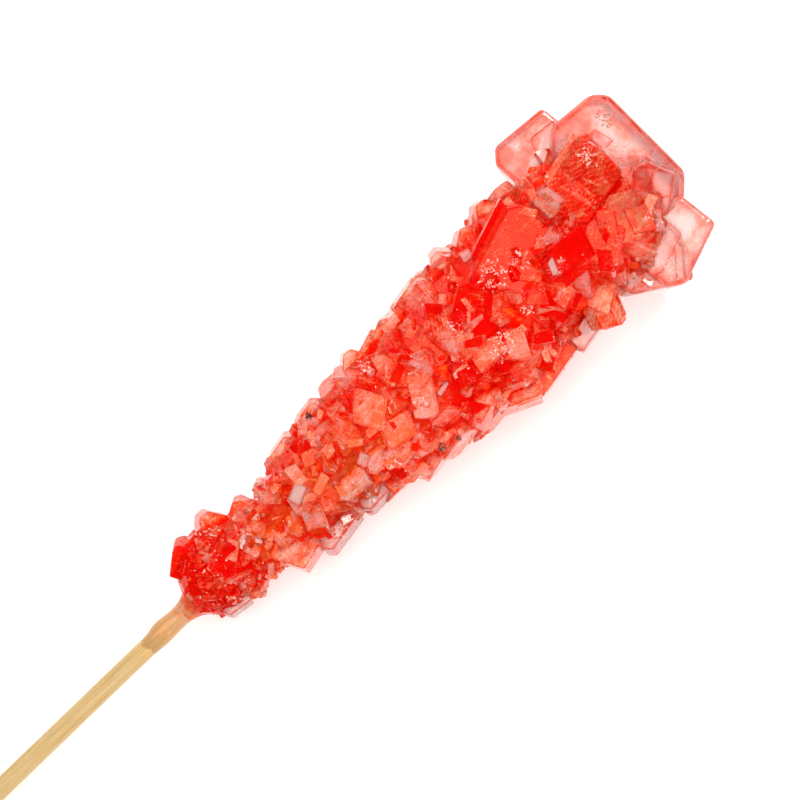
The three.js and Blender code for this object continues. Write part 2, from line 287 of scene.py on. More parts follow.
# a crystal 1 long, 1 wide and 1 thick, whose corners and edges are cut for the given width
def makeShape(width, lean, cornerCut, edge="edge", blunt=0):
    deselectAll()
    bpy.ops.mesh.primitive_cube_add(size=1)
    shape = bpy.context.object
    setMode("EDIT")
    thickness = crystal["thickness"] * width
    bpy.ops.transform.resize(value=(2, width, thickness))
    halfWidth = width / 2
    shift = lean * halfWidth
    cornerX = 0.5 + shift - cornerCut * width
    for side in (1, -1):
        cutAway((0.5 * side, 0, 0), (side, -lean * side, 0))
        cutAway((cornerX * side, halfWidth * side, 0), (side, (1 - lean) * side, 0))
        if blunt:
            bluntX = 0.5 - shift - blunt * width
            cutAway((bluntX * side, -halfWidth * side, 0), (side, -(1 + lean) * side, 0))
    selectAll()
    offset, segments = crystal[edge]
    bpy.ops.mesh.bevel(offset=offset * width, segments=segments, affect="EDGES", clamp_overlap=True)
    setMode("OBJECT")
    # the bevel faces get painted edge shade, carried as extra dye
    edges = shape.data.attributes.new("dye", "FLOAT", "FACE")  # the bevel leaves its new faces selected
    edges.data.foreach_set("value", [crystal["paintedEdgeShade"] * face.select for face in shape.data.polygons])
    setMode("EDIT")
    selectAll()
    bpy.ops.transform.resize(value=(1, 1 / width, 1 / thickness))
    bpy.ops.uv.cube_project(cube_size=1)  # each face spans 0 to 1
    setMode("OBJECT")
    return shape


def makeShapes(cornerCut, edge="edge"):
    return {width: makeShape(width, crystal["lean"], cornerCut, edge) for width in crystal["widths"]}


shapes = makeShapes(crystal["cornerCut"])
sharpShapes = makeShapes(crystal["sharpCut"])
softShapes = makeShapes(crystal["cornerCut"], "softEdge")
tipShape = makeShape(
    crystal["tipWidth"], crystal["tipLean"], crystal["cornerCut"], "softEdge", crystal["tipBlunt"])
print("crystal shapes made")


def newGroup(name):
    group = bpy.data.collections.new(name)
    bpy.context.scene.collection.children.link(group)
    return group


grown, clear, inner = [newGroup(name) for name in ("grown", "clear", "inner")]


def nearestShape(length, width, choice=shapes):
    return choice[min(choice, key=lambda share: abs(share - width / length))]


def giveDye(mesh, dye):
    values = [0.0] * len(mesh.polygons)
    if "dye" in mesh.attributes:
        mesh.attributes["dye"].data.foreach_get("value", values)
    else:
        mesh.attributes.new("dye", "FLOAT", "FACE")
    mesh.attributes["dye"].data.foreach_set("value", [value + dye for value in values])


def grow(shape, placement, dye, collection):
    mesh = shape.data.copy()
    mesh.transform(candyToTable @ placement)
    giveDye(mesh, dye)
    collection.objects.link(bpy.data.objects.new("crystal", mesh))


def growAt(shape, middle, turn, size, dye, collection):
    grow(shape, Matrix.Translation(middle) @ turn @ Matrix.Diagonal((*size, 1)), dye, collection)


# the middle that puts a crystal's furthest corner at that distance from the stick
def middleUnder(distance, shape, sized, station, angle):
    outward = outwardAt(angle)
    furthest = max((sized @ corner.co).dot(outward) for corner in shape.data.vertices)
    middle = outward * (distance - furthest)
    middle.x = station
    return middle


heart = {
    "seed": 2281,
    "count": 430,
    "firstStation": 5.5,
    "lastStation": 86,
    "length": (0.35, 0.75),  # of the usual length
    "width": (0.5, 0.9),  # of the length, as the next
    "thickness": (0.4, 0.8),
    "depth": (0.22, 0.5),  # of the usual length, under the reach
    "core": (36, 84),  # stations
    "cover": 0.66,
    "coreDye": 0.9,
    "sides": 10,
    "thinned": (14, 46, 0.35),  # from and to these stations only this share
    "placed": (  # at, length, turn
        ((86.6, -5.4, 3.2), 5.6, 30), ((88.6, -2.2, 2.4), 5.4, -20), ((84.4, -7.4, 1.6), 5.2, 60),
        ((87.4, -7.6, 0.2), 4.4, 10), ((89.6, -4.6, 0.6), 4.6, 80), ((82.6, 8.6, 2.4), 5.2, -40),
        ((84.6, 9.4, 1.4), 4.4, 15), ((80.4, 6.6, 6), 4.8, 50), ((21.4, -0.6, 3.6), 3.8, 25),
        ((18.2, 0.9, 3.2), 3.4, -30), ((24.2, 1, 4.4), 3.4, 70), ((15.6, -0.8, 2.8), 3, 10),
    ),
    "placedShape": (0.74, 0.6),  # width and thickness, of the length
    "placedDye": 0.5,
}


# red crystals that grew first, under the clear ones
def growHeart():
    draw = seeded(heart["seed"])
    thinFrom, thinTo, thinShare = heart["thinned"]
    for i in range(heart["count"]):
        station = draw(heart["firstStation"], heart["lastStation"])
        if thinFrom < station < thinTo and draw() > thinShare:
            continue
        usual = valueAt(usualLengths, station)
        angle = 2 * math.pi * draw()
        length = usual * draw(*heart["length"])
        size = (length, length * draw(*heart["width"]), length * draw(*heart["thickness"]))
        turn = randomTurn(draw)
        radius = reachAt(station, angle) - usual * draw(*heart["depth"]) - length / 2
        middle = (station, radius * math.cos(angle), radius * math.sin(angle))
        growAt(nearestShape(size[0], size[1], sharpShapes), middle, turn, size, draw(), inner)
    width, thickness = heart["placedShape"]
    for at, length, spin in heart["placed"]:
        turn = Euler([math.radians(angle) for angle in (spin / 2, spin / 3, spin)]).to_matrix().to_4x4()
        size = (length, width * length, thickness * length)
        growAt(sharpShapes[width], at, turn, size, heart["placedDye"], inner)


ledges = {
    "seed": 517,
    "most": 4,
    "share": (0.34, 0.72),  # of the crystal that they stand on
    "proud": (0.02, 0.07),
    "offCentre": 0.42,
    "dyeSpread": 0.12,
}


# smaller crystals that lie parallel to the one they grow on, a step over its faces
def growLedges(shape, middle, turn, size, dye, draw, most, collection):
    for i in range(math.ceil(most * draw())):
        shares = [draw(*ledges["share"]) for axis in range(3)]
        sides = [1 if draw() > 0.5 else -1 for axis in range(3)]
        raised = int(3 * draw())
        step = draw(*ledges["proud"])
        offset = Vector([ledges["offCentre"] * (1 - share) * side * whole
                         for share, side, whole in zip(shares, sides, size)])
        offset[raised] = sides[raised] * size[raised] * ((1 - shares[raised]) / 2 + step)
        smaller = [share * whole for share, whole in zip(shares, size)]
        ledgeDye = dye + ledges["dyeSpread"] * (draw() - 0.5)
        growAt(shape, middle + turn.to_3x3() @ offset, turn, smaller, ledgeDye, collection)


def growLarge():
    draw = seeded(ledges["seed"])
    for at, size, turn, dye in largeCrystals:
        aboutUp, aboutStick, aboutSideways = [math.radians(angle) for angle in turn]
        rotation = Euler((aboutStick, aboutSideways, aboutUp), "ZYX").to_matrix().to_4x4()
        isTip = at == largeCrystals[0][0]
        middle = Vector(at)
        isClear = dye < crystal["clearUnder"][middle.x > crystal["tipFrom"]]
        isSoft = isClear and size[0] > crystal["softFrom"]
        shape = tipShape if isTip else nearestShape(size[0], size[1], softShapes if isSoft else shapes)
        collection = clear if isClear else grown
        growAt(shape, middle, rotation, size, dye, collection)
        if not isTip:
            growLedges(shape, middle, rotation, size, dye, draw, ledges["most"], collection)


def isClearOfLarge(place):
    return all((place - Vector(at)).length > crust["clearOfLarge"] * size[0]
               for at, size, turn, dye in largeCrystals)


def growCrust():
    draw = seeded(crust["seed"])
    finish = seeded(crust["seed"] + 1)
    palerStation, palerSide, palerShare = crust["paler"]
    station = crust["firstStation"]
    while station < crust["lastStation"]:
        usual = valueAt(usualLengths, station)
        reach = (reachAt(station, 0) + reachAt(station, math.pi)) / 2
        way = 2 * math.pi * (reach - crust["middleDepth"] * usual)
        count = max(crust["fewestInRing"], math.floor(way / (crust["roundStep"] * usual) + 0.5))
        offset = draw()
        for i in range(count):
            angle = (i + offset + crust["roundJitter"] * (draw() - 0.5)) / count * 2 * math.pi
            place = station + crust["ringStep"] * usual * (draw() - 0.5)
            length = usual * draw(*crust["sizeSpread"])
            width = length * draw(*crust["widthShare"])
            thickness = length * draw(*crust["thicknessShare"])
            spin = 2 * math.pi * draw()
            towards = 2 * math.pi * draw()
            tip = math.radians(crust["leanOutward"]) * draw()
            stand = length * draw(*crust["standOut"])
            hinge = Vector((math.cos(towards), math.sin(towards), 0))
            turn = (Matrix.Rotation(angle - math.pi / 2, 4, "X") @ Matrix.Rotation(tip, 4, hinge)
                    @ Matrix.Rotation(spin, 4, "Z"))
            shape = nearestShape(length, width)
            sized = turn @ Matrix.Diagonal((length, width, thickness, 1))
            middle = middleUnder(reachAt(place, angle) + stand, shape, sized, place, angle)
            dye = finish(valueAt(crust["dye"], place), valueAt(crust["dye"], place, 2))
            if isClearOfLarge(middle):
                if place > crust["palerFrom"] or place > palerStation and middle.y < palerSide:
                    dye *= palerShare
                grow(shape, Matrix.Translation(middle) @ sized, dye, grown)
                growLedges(
                    shape, middle, turn, (length, width, thickness), dye, finish, crust["ledges"], grown)
        station += crust["ringStep"] * usual


small = {
    "seed": 4417,
    "count": 620,
    "neckCount": 260,
    "stations": (6, 90),
    "neckStations": (4.9, 11),
    "length": (1, 4.2, 1.6),  # least, most, and how mostly short they are
    "neckShare": 0.8,  # of that length at the neck
    "width": (0.14, 0.55),  # of the length
    "depth": (0, 0.24),  # of the usual length, under the reach
    "neckDepth": (0, 0.2),
    "dye": (0.05, 0.55),  # from the outermost to the deepest
    "dyeSpread": 0.2,
    "neckDye": (10, 0.35),  # up to this station there is so much more
}


def growSmall():
    draw = seeded(small["seed"])
    for i in range(small["count"] + small["neckCount"]):
        isNeck = i >= small["count"]
        station = draw(*small["neckStations" if isNeck else "stations"])
        angle = 2 * math.pi * draw()
        length = drawMostlyLow(draw, *small["length"])
        length *= small["neckShare"] if isNeck else small["neckShare"] + station / 200
        shallow, deep = small["neckDepth" if isNeck else "depth"]
        share = draw()
        depth = (shallow + (deep - shallow) * share) * valueAt(usualLengths, station)
        turn = randomTurn(draw)
        width = length * draw(*small["width"])
        shape = nearestShape(length, width, sharpShapes)
        sized = turn @ Matrix.Diagonal((length, width, width * draw(0.5, 1), 1))
        middle = middleUnder(reachAt(station, angle) - depth, shape, sized, station, angle)
        outermost, deepest = small["dye"]
        dye = outermost + (deepest - outermost) * share + small["dyeSpread"] * (draw() - 0.5)
        if station < small["neckDye"][0]:
            dye += small["neckDye"][1]
        grow(shape, Matrix.Translation(middle) @ sized, dye, grown)


growLarge()
growCrust()
growSmall()
growHeart()

core = {
    "sides": 12,
    "firstStation": 4.7,
    "lastStation": 90,
    "cover": 0.3,  # of the usual length
    "dye": 0.75,
}


# a round bar along the stick, with one ring of corners at each station, in mm
def makeRound(name, stations, sides, radiusAt):
    deselectAll()
    bpy.ops.mesh.primitive_cylinder_add(
        vertices=sides, radius=1, depth=stations[-1] - stations[0], end_fill_type="NGON",
        rotation=(0, math.pi / 2, 0))
    piece = bpy.context.object
    piece.name = name
    piece.location.x = (stations[0] + stations[-1]) / 2
    bpy.ops.object.transform_apply(location=True, rotation=True)
    setMode("EDIT")
    for station in stations[1:-1]:
        selectAll()
        bpy.ops.mesh.bisect(plane_co=(station, 0, 0), plane_no=(1, 0, 0))
    setMode("OBJECT")
    for corner in piece.data.vertices:
        x, y, z = corner.co
        radius = radiusAt(x, math.atan2(z, y))
        corner.co = (x, y * radius, z * radius)
    piece.data.transform(candyToTable)
    return piece


# sugar round the stick, under the crystals
def makeCore(name, cover, firstStation, lastStation, sides, dye):
    stations = [station for station, left, right in reaches if firstStation <= station <= lastStation]

    def radiusAt(x, angle):
        return reachAt(x, angle) - cover * valueAt(usualLengths, x)

    piece = makeRound(name, stations, sides, radiusAt)
    giveDye(piece.data, dye)
    return piece


collar = {
    "sides": 28,
    "profile": (  # station, radius
        (-6.4, 1.36), (-5.6, 1.47), (-4.4, 1.56), (-3.2, 1.62), (-2, 1.62), (-0.8, 1.57), (0.4, 1.56),
        (1.4, 1.64), (2.3, 1.86), (3.1, 2.2), (3.9, 2.7), (4.7, 3.4), (5.6, 3.9),
    ),
    "drop": (-2.4, 0.32, 1.7, 0.5),  # station, height, half length and angle of a drop on the left side
    "waves": 0.05,
    "wavesFrom": -5,
    "dye": ((-6, 0), (-1, 0.12), (1.5, 0.5), (3.2, 1.15), (5, 1.3)),
}


# hardened syrup that ran down the stick
def makeCollar():
    dropAt, dropHeight, dropHalf, dropAngle = collar["drop"]

    def radiusAt(x, angle):
        facing = max(0, math.cos(angle - dropAngle)) ** 2
        drop = dropHeight * math.exp(-((x - dropAt) / dropHalf) ** 2) * facing
        wave = collar["waves"] * math.sin(3 * angle + 1.3 * x) * math.sin(1.9 * x + 2 * angle)
        return valueAt(collar["profile"], x) + drop + (wave if x > collar["wavesFrom"] else 0)

    stations = [station for station, radius in collar["profile"]]
    piece = makeRound("collar", stations, collar["sides"], radiusAt)
    piece.data.polygons.foreach_set("use_smooth", [True] * len(piece.data.polygons))
    giveDye(piece.data, 0)
    for face in piece.data.polygons:
        station = (candyToTable.inverted() @ face.center).x
        piece.data.attributes["dye"].data[face.index].value = valueAt(collar["dye"], station)
    return piece


def fuse(piece, operation, operand):  # with another object, or with all in a collection
    joining = piece.modifiers.new("joining", "BOOLEAN")
    joining.operation = operation
    joining.solver = "MANIFOLD"
    if isinstance(operand, bpy.types.Collection):
        joining.operand_type = "COLLECTION"
        joining.collection = operand
    else:
        joining.object = operand
    pick(piece)
    bpy.ops.object.modifier_apply(modifier="joining")


def removeAll(pieces):
    for piece in list(pieces):
        bpy.data.objects.remove(piece, do_unlink=True)


def keepOuterSkin(piece):  # hollows that the crystals shut in are filled, and scraps dropped
    pick(piece)
    setMode("EDIT")
    selectAll()
    bpy.ops.mesh.separate(type="LOOSE")
    setMode("OBJECT")
    parts = list(bpy.context.selected_objects)
    spans = {part: (Vector(part.bound_box[6]) - Vector(part.bound_box[0])).length for part in parts}
    kept = max(parts, key=lambda part: spans[part])
    if kept != piece:
        piece.data, kept.data = kept.data, piece.data
    removeAll(part for part in parts if part != piece)


def makeSpace():  # the room that the sugar has: over the table, and no wider than the solids
    deselectAll()
    bpy.ops.mesh.primitive_cube_add(size=1, location=(cadLow + cadHigh) / 2, scale=cadHigh - cadLow)
    bpy.ops.object.transform_apply(location=True, scale=True)
    return bpy.context.object


def isInside(place, margin):
    return all(low + margin < value < high - margin for low, value, high in zip(cadLow, place, cadHigh))


farOut = 40  # mm from the stick, outside the sugar


# where the sugar's surface is, from a point outside it, and which piece it belongs to
def surfaceFrom(start, direction):
    origin, heading = candyToTable @ start, stickToTable.to_3x3() @ direction
    found = (None, None, None)
    nearest = math.inf
    for piece in (sugarCrystals, clearCrystals):
        hit, place, normal, face = piece.ray_cast(origin, heading)
        if hit and (place - origin).length < nearest:
            nearest = (place - origin).length
            found = (place, normal, piece)
    return found


def surfaceUnder(station, sideways):  # on the shown side
    return surfaceFrom(Vector((station, sideways, farOut)), Vector((0, 0, -1)))


def surfaceTowards(station, angle):
    outward = outwardAt(angle)
    return surfaceFrom(Vector((station, 0, 0)) + outward * farOut, -outward)


space = makeSpace()
sugarCrystals = makeCore(
    "sugarCrystals", core["cover"], core["firstStation"], core["lastStation"], core["sides"], core["dye"])
grown.objects.link(makeCollar())
fuse(sugarCrystals, "UNION", grown)
fuse(sugarCrystals, "INTERSECT", space)
keepOuterSkin(sugarCrystals)

clearCrystals = clear.objects[0]
clearCrystals.name = "clearCrystals"
clear.objects.unlink(clearCrystals)
bpy.context.scene.collection.objects.link(clearCrystals)
fuse(clearCrystals, "UNION", clear)

glints = {
    "pale": (  # station, sideways, length, width, spin, dye
        (26, 1, 2.9, 1.9, 25, 0.15), (36, -2, 1.9, 1.5, 30, 0.15), (71.2, -11, 4.2, 2.6, 12, 0.05),
        (41.6, 2.4, 5, 4.8, 42, 0.4), (42.6, -2.4, 4.6, 3.8, -14, 0.4), (24.5, 3.8, 2.4, 1, 5, 0.4),
        (20.9, 3.2, 2.6, 0.9, 0, 0.35), (19.3, -0.9, 4, 0.7, -38, 0.3), (29, 4.4, 2, 0.8, 60, 0.4),
        (32.8, 5.2, 2.4, 0.9, 65, 0.3), (45.4, -6.8, 4.2, 3, -62, 0.35), (48.4, -1.7, 2.4, 1.8, 30, 0.3),
        (51, -2.6, 2.6, 0.7, 12, 0.1), (54.6, -2.4, 2.7, 0.8, 2, 0.2), (52.2, 9.2, 3, 1.5, 5, 0.25),
        (53.6, 6.2, 2.4, 1.9, 30, 0.2), (58.9, -3.5, 4.8, 2.5, 0, 0.35), (62.8, -5.2, 4.4, 2.9, 62, 0.3),
        (57.8, 4, 1.1, 0.9, 60, 0.2), (61.2, 2.9, 4, 0.5, 45, 0.4), (59.2, -11.4, 4.2, 1.3, -26, 0.25),
        (56.4, -9.6, 3.4, 0.8, 14, 0.25), (66.5, 8.5, 2.1, 1.6, 78, 0.15), (69, -7.8, 2.3, 0.7, -62, 0.2),
        (71.8, 2.6, 3.4, 0.6, 38, 0.2), (73.9, -0.9, 2.7, 1, 68, 0.15), (72.4, -4.8, 3.2, 2.4, 18, 0.4),
        (76.6, -8.6, 4.6, 3.6, 30, 0.35), (80.5, 6.4, 3.6, 2, 98, 0.15), (85, 9.1, 7.4, 1.1, 12, 0.45),
        (83.6, -2, 4.4, 2.6, 55, 0.55), (87.4, -4.6, 4, 3.2, 70, 0.5), (89.8, -6.6, 3.6, 1.3, 62, 0.1),
    ),
    "deep": (
        (70.9, 8.8, 9.2, 1.6, 20, 1), (77.1, -1.3, 6.2, 4.7, -3, 1), (55.6, -3.8, 4.6, 2.3, -14, 1),
        (60.6, -0.5, 7, 2.3, 3, 1), (63.8, 1.4, 3.6, 1.3, 58, 1), (69.4, -5.6, 4.4, 1.3, -64, 1),
        (57.4, 5.8, 3.2, 2.5, 55, 0.95), (92.2, 7.6, 3.2, 1.7, 104, 0.8), (12.2, 1.2, 4.4, 2.9, 20, 1),
        (52.6, -7.8, 3.6, 1.6, -55, 0.9), (80.7, 1.2, 3, 1.8, 80, 0.9), (47.8, 3.4, 3, 1.4, 20, 0.9),
    ),
    "sparkling": (
        (84.8, 11.4, 2.2, 1.6, 80, 0.05), (83.7, -11.8, 2.3, 1.9, 20, 0.05), (15.3, 1.5, 2.2, 1.1, 20, 0.05),
        (17.1, 0.1, 1.2, 1, 60, 0.05), (28.3, -6.4, 1.9, 1.6, -10, 0.05),
    ),
    "mirrored": {"pale": (-0.2, 0.25, 1), "deep": (0.215, -0.223, 0.95), "sparkling": (0.35, 0.75, 0.9)},
    "mirroredFrom": 0.75,  # distance
    "thickness": 0.9,  # of the width
    "proud": 0.35,
    "clearUpTo": 0.15,  # dye
    "scattered": 110,
    "scatteredLength": (0.9, 3.2, 1.5),  # least, most, and how mostly short they are
    "scatteredWidth": (0.25, 0.75),  # of the length
    "scatteredStations": (12, 84),
    "inset": 2,  # from the reach
    "paleDye": (0.15, 0.5),
    "deepDye": 0.85,
    "seed": 3391,
}


# a facet that mirrors what is in that direction of the studio into view
def growGlint(kind, station, sideways, length, width, spin, dye):
    place, normal, piece = surfaceUnder(station, sideways)
    if not place:
        return
    mirrored = placeTowards(glints["mirrored"][kind], glints["mirroredFrom"])
    half = ((mirrored - place).normalized() + (cameraPlace - place).normalized()).normalized()
    facing = stickToTable.to_3x3().inverted() @ half
    lengthwise = (Vector((1, 0, 0)) - facing * facing.x).normalized()
    flat = Matrix((lengthwise, facing.cross(lengthwise), facing)).transposed().to_4x4()
    turn = flat @ Matrix.Rotation(math.radians(spin), 4, "Z")
    thickness = glints["thickness"] * width
    middle = candyToTable.inverted() @ place + facing * (glints["proud"] - thickness / 2)
    if dye <= glints["clearUpTo"]:
        piece = clearCrystals
    shape = nearestShape(length, width, sharpShapes)
    growAt(shape, middle, turn, (length, width, thickness), dye, shining[piece])


def growGlints():
    for kind in ("deep", "pale", "sparkling"):
        for facet in glints[kind]:
            growGlint(kind, *facet)
    draw = seeded(glints["seed"])
    for i in range(glints["scattered"]):
        kind = "pale" if draw() < 0.5 else "deep"
        station = draw(*glints["scatteredStations"])
        length = drawMostlyLow(draw, *glints["scatteredLength"])
        sideways = (2 * draw() - 1) * (reachAt(station, 0) - glints["inset"])
        dye = draw(*glints["paleDye"]) if kind == "pale" else glints["deepDye"]
        width = length * draw(*glints["scatteredWidth"])
        growGlint(kind, station, sideways, length, width, 180 * draw(), dye)


shining = {piece: newGroup("shining") for piece in (sugarCrystals, clearCrystals)}
growGlints()
for piece in (sugarCrystals, clearCrystals):
    fuse(piece, "UNION", shining[piece])
    fuse(piece, "INTERSECT", space)

redHeart = makeCore("redHeart", heart["cover"], *heart["core"], heart["sides"], heart["coreDye"])
fuse(redHeart, "UNION", inner)
fuse(redHeart, "INTERSECT", space)
for collection in (grown, clear, inner, *shining.values()):
    removeAll(collection.objects)
removeAll([*shapes.values(), *sharpShapes.values(), *softShapes.values(), tipShape, space])


def printTriangles(piece):
    print(piece.name, "has", sum(len(face.vertices) - 2 for face in piece.data.polygons), "triangles")


for piece in (sugarCrystals, clearCrystals, redHeart):
    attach(piece, "root")
    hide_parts("candy")
    printTriangles(piece)


frost = {
    "seed": 733,
    "patches": (  # station, sideways, radius, how many grains
        (67.3, 4.2, 2.6, 120), (71, 3, 1.6, 40), (88.2, 6.8, 1.6, 70), (93, 4.4, 1.5, 80),
        (60.8, -4.2, 2.6, 90), (47.6, -1.6, 1.3, 45), (57.8, 2.2, 1.6, 30), (67, -2.6, 1, 30),
        (89, -6, 1.6, 30), (45, 7.6, 1.6, 50), (12.6, 6.4, 2, 40), (8.3, -4.2, 1.5, 40),
        (9.4, 1.8, 1, 8), (33.2, -6.6, 1.6, 50), (26.5, -6.6, 2.4, 40), (16.6, 2.6, 1.2, 30),
        (38.5, -5, 1.5, 25), (81, 12, 2, 20), (86, -12.5, 2.4, 40),
    ),
    "scattered": 620,
    "size": (0.08, 0.36, 2),  # least, most, and how mostly small they are
    "stations": (5, 96),
    "denser": 1.7,
    "spread": (0.85, 0.6),  # of a patch's radius, and the power: at 0.5 they lie evenly
    "bend": 1.8,  # of a strand
    "strand": 4,  # grains in a row
    "stride": 0.16,
    "embedded": 0.35,  # of the size
    "clearance": 0.8,
}


def joinAll(name, pieces):
    pick(*pieces)
    bpy.ops.object.join()
    joined = bpy.context.object
    joined.name = name
    return joined


# copies of a shape at those places, with those turns and sizes
def scatter(name, shape, placements):
    pieces = []
    for middle, turn, sized in placements:
        mesh = shape.data.copy()
        mesh.transform(Matrix.Translation(middle) @ turn @ sized)
        piece = bpy.data.objects.new("grain", mesh)
        bpy.context.collection.objects.link(piece)
        pieces.append(piece)
    bpy.data.objects.remove(shape)
    return joinAll(name, pieces)


def makeGrain():  # a tiny crystal, one long
    deselectAll()
    bpy.ops.mesh.primitive_cube_add(size=1)
    grain = bpy.context.object
    setMode("EDIT")
    bpy.ops.transform.resize(value=(1, 0.6, 0.4))
    cutAway((0.3, 0.2, 0), (1, 0.8, 0.2))
    cutAway((-0.3, -0.2, 0.1), (-1, -0.6, 0.5))
    setMode("OBJECT")
    return grain


def makeBead():
    deselectAll()
    bpy.ops.mesh.primitive_ico_sphere_add(subdivisions=2, radius=0.5)
    setMode("EDIT")
    bpy.ops.transform.vertex_random(offset=0.05, seed=3)
    setMode("OBJECT")
    return bpy.context.object


# tiny white crystals that stick to the faces
def makeFrost():
    draw = seeded(frost["seed"])
    share, power = frost["spread"]
    places = []
    for station, sideways, radius, count in frost["patches"]:
        for i in range(round(count * frost["denser"] / frost["strand"])):
            angle, way, heading = 2 * math.pi * draw(), share * radius * draw() ** power, 2 * math.pi * draw()
            x, y = station + way * math.cos(angle), sideways + way * math.sin(angle)
            for j in range(frost["strand"]):
                heading += frost["bend"] * (draw() - 0.5)
                x, y = x + frost["stride"] * math.cos(heading), y + frost["stride"] * math.sin(heading)
                places.append(surfaceUnder(x, y))
    for i in range(frost["scattered"]):
        places.append(surfaceTowards(draw(*frost["stations"]), 2 * math.pi * draw()))
    placements = []
    for place, normal, piece in places:
        size = drawMostlyLow(draw, *frost["size"]) * mm
        turn = randomTurn(draw)
        if place:
            middle = place + normal * size * (0.5 - frost["embedded"]) * 0.5
            if isInside(middle, frost["clearance"] * size):
                placements.append((middle, turn, Matrix.Scale(size, 4)))
    return scatter("sugarFrost", makeGrain(), placements)


bubbles = {
    "seed": 91,
    "count": 420,
    "crowded": (60, 84, -4, 5, 160),  # more of them between these stations and sides
    "size": (0.12, 0.42, 2),  # least, most, and how mostly small they are
    "depth": (0.35, 1.3),
    "stretch": (1, 2.6),
    "flatness": 0.8,
    "stations": (5.5, 96),
}


# pockets of air shut in just under the faces
def makeBubbles():
    draw = seeded(bubbles["seed"])
    fromStation, toStation, fromSide, toSide, crowd = bubbles["crowded"]
    places = [surfaceUnder(draw(fromStation, toStation), draw(fromSide, toSide)) for i in range(crowd)]
    for i in range(bubbles["count"]):
        places.append(surfaceTowards(draw(*bubbles["stations"]), 2 * math.pi * draw()))
    placements = []
    for place, normal, piece in places:
        size = drawMostlyLow(draw, *bubbles["size"]) * mm
        depth, stretch, turn = draw(*bubbles["depth"]) * mm, draw(*bubbles["stretch"]), randomTurn(draw)
        if place and (place - normal * depth).z > 2 * size:
            sized = Matrix.Diagonal((size * stretch, size, size * bubbles["flatness"], 1))
            placements.append((place - normal * depth, turn, sized))
    return scatter("airBubbles", makeBead(), placements)


specks = {
    "seed": 12,
    "clusters": (  # station, sideways, radius, how many, depth
        (34.5, 8, 0.55, 55, 0.03), (45.2, -8.5, 0.7, 70, 0.03), (47.9, -9.3, 0.4, 20, 0.03),
        (32.8, -6.6, 1.5, 14, 0.5), (95, 9.2, 1.5, 90, 0.7), (27, -7.4, 1.6, 6, 0.5),
        (8.6, -4.4, 1.3, 8, 0.3), (24.6, 6.8, 1.2, 8, 0.6),
    ),
    "clusterPower": 0.6,  # at 0.5 they lie evenly
    "depthSpread": (0.6, 1.4),
    "scattered": 46,
    "stations": (6, 95),
    "depth": (0.3, 1.3),
    "size": (0.08, 0.4, 1.5),  # least, most, and how mostly small they are
}


# scorched grains of sugar caught in the crystals
def makeSpecks():
    draw = seeded(specks["seed"])
    places = []
    for station, sideways, radius, count, depth in specks["clusters"]:
        for i in range(count):
            way, angle = radius * draw() ** specks["clusterPower"], 2 * math.pi * draw()
            under = surfaceUnder(station + way * math.cos(angle), sideways + way * math.sin(angle))
            places.append((*under[:2], depth * draw(*specks["depthSpread"])))
    for i in range(specks["scattered"]):
        under = surfaceTowards(draw(*specks["stations"]), 2 * math.pi * draw())
        places.append((*under[:2], draw(*specks["depth"])))
    placements = []
    for place, normal, depth in places:
        size = drawMostlyLow(draw, *specks["size"]) * mm
        turn = randomTurn(draw)
        if place and (place - normal * depth * mm).z > size:
            placements.append((place - normal * depth * mm, turn, Matrix.Scale(size, 4)))
    return scatter("darkSpecks", makeGrain(), placements)


sugarFrost = makeFrost()
airBubbles = makeBubbles()
darkSpecks = makeSpecks()
for piece in (sugarFrost, airBubbles, darkSpecks):
    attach(piece, "root")
    printTriangles(piece)

fibres = {
    "sides": 84,
    "rings": 60,
    "deepest": 0.045,  # mm
    "waves": (  # round the stick, share, phase
        (9, 0.35, 0), (17, 0.3, 1.1), (31, 0.2, 2.3), (41, 0.15, 0.4),
    ),
    "waver": (0.9, 0.07),  # how far the fibres swing, and how often
    "chamfer": 0.25,
    "fit": 0.995,  # of the solid's radius
}


# split bamboo: three flats, and fibres that run along it
def makeSkewer():
    radius = stick["diameter"] / mm / 2
    first, last = -stick["bareLength"] / mm, stick["inCandy"] / mm
    chamfer = fibres["chamfer"]
    swing, often = fibres["waver"]
    step = (last - first - 2 * chamfer) / fibres["rings"]
    stations = [first] + [first + chamfer + step * i for i in range(fibres["rings"] + 1)] + [last]

    def radiusAt(x, angle):
        flat = 1 - stick["unevenness"] * math.sin(stick["flats"] * angle / 2) ** 2
        groove = sum(share * (1 + math.sin(count * angle + phase + swing * math.sin(often * x * (1 + phase))))
                     for count, share, phase in fibres["waves"]) / 2
        isEnd = x < first + chamfer / 2 or x > last - chamfer / 2
        return fibres["fit"] * radius * flat - fibres["deepest"] * groove - (chamfer if isEnd else 0)

    piece = makeRound("bambooSkewer", stations, fibres["sides"], radiusAt)
    pick(piece)
    bpy.ops.object.shade_smooth_by_angle(angle=math.radians(30))
    return piece


bambooSkewer = makeSkewer()
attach(bambooSkewer, "root")
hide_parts("stick")
print("skewer made")


def setInput(node, name, value):  # what another node puts out is linked, and the rest is set
    if isinstance(value, bpy.types.NodeSocket):
        node.id_data.links.new(value, node.inputs[name])
    else:
        node.inputs[name].default_value = value


def setInputs(node, values):
    for name, value in values.items():
        setInput(node, name, value)


def addNode(tree, kind, **values):
    node = tree.nodes.new("ShaderNode" + kind)
    for name, value in values.items():
        if name in node.inputs:
            setInput(node, name, value)
        else:
            setattr(node, name, value)
    return node


def newMaterial(name):
    material = bpy.data.materials.new(name)
    material.use_nodes = True
    return material, material.node_tree, material.node_tree.nodes["Principled BSDF"]


def paint(piece, material):
    piece.data.materials.clear()
    piece.data.materials.append(material)
    piece.data.polygons.foreach_set("material_index", [0] * len(piece.data.polygons))


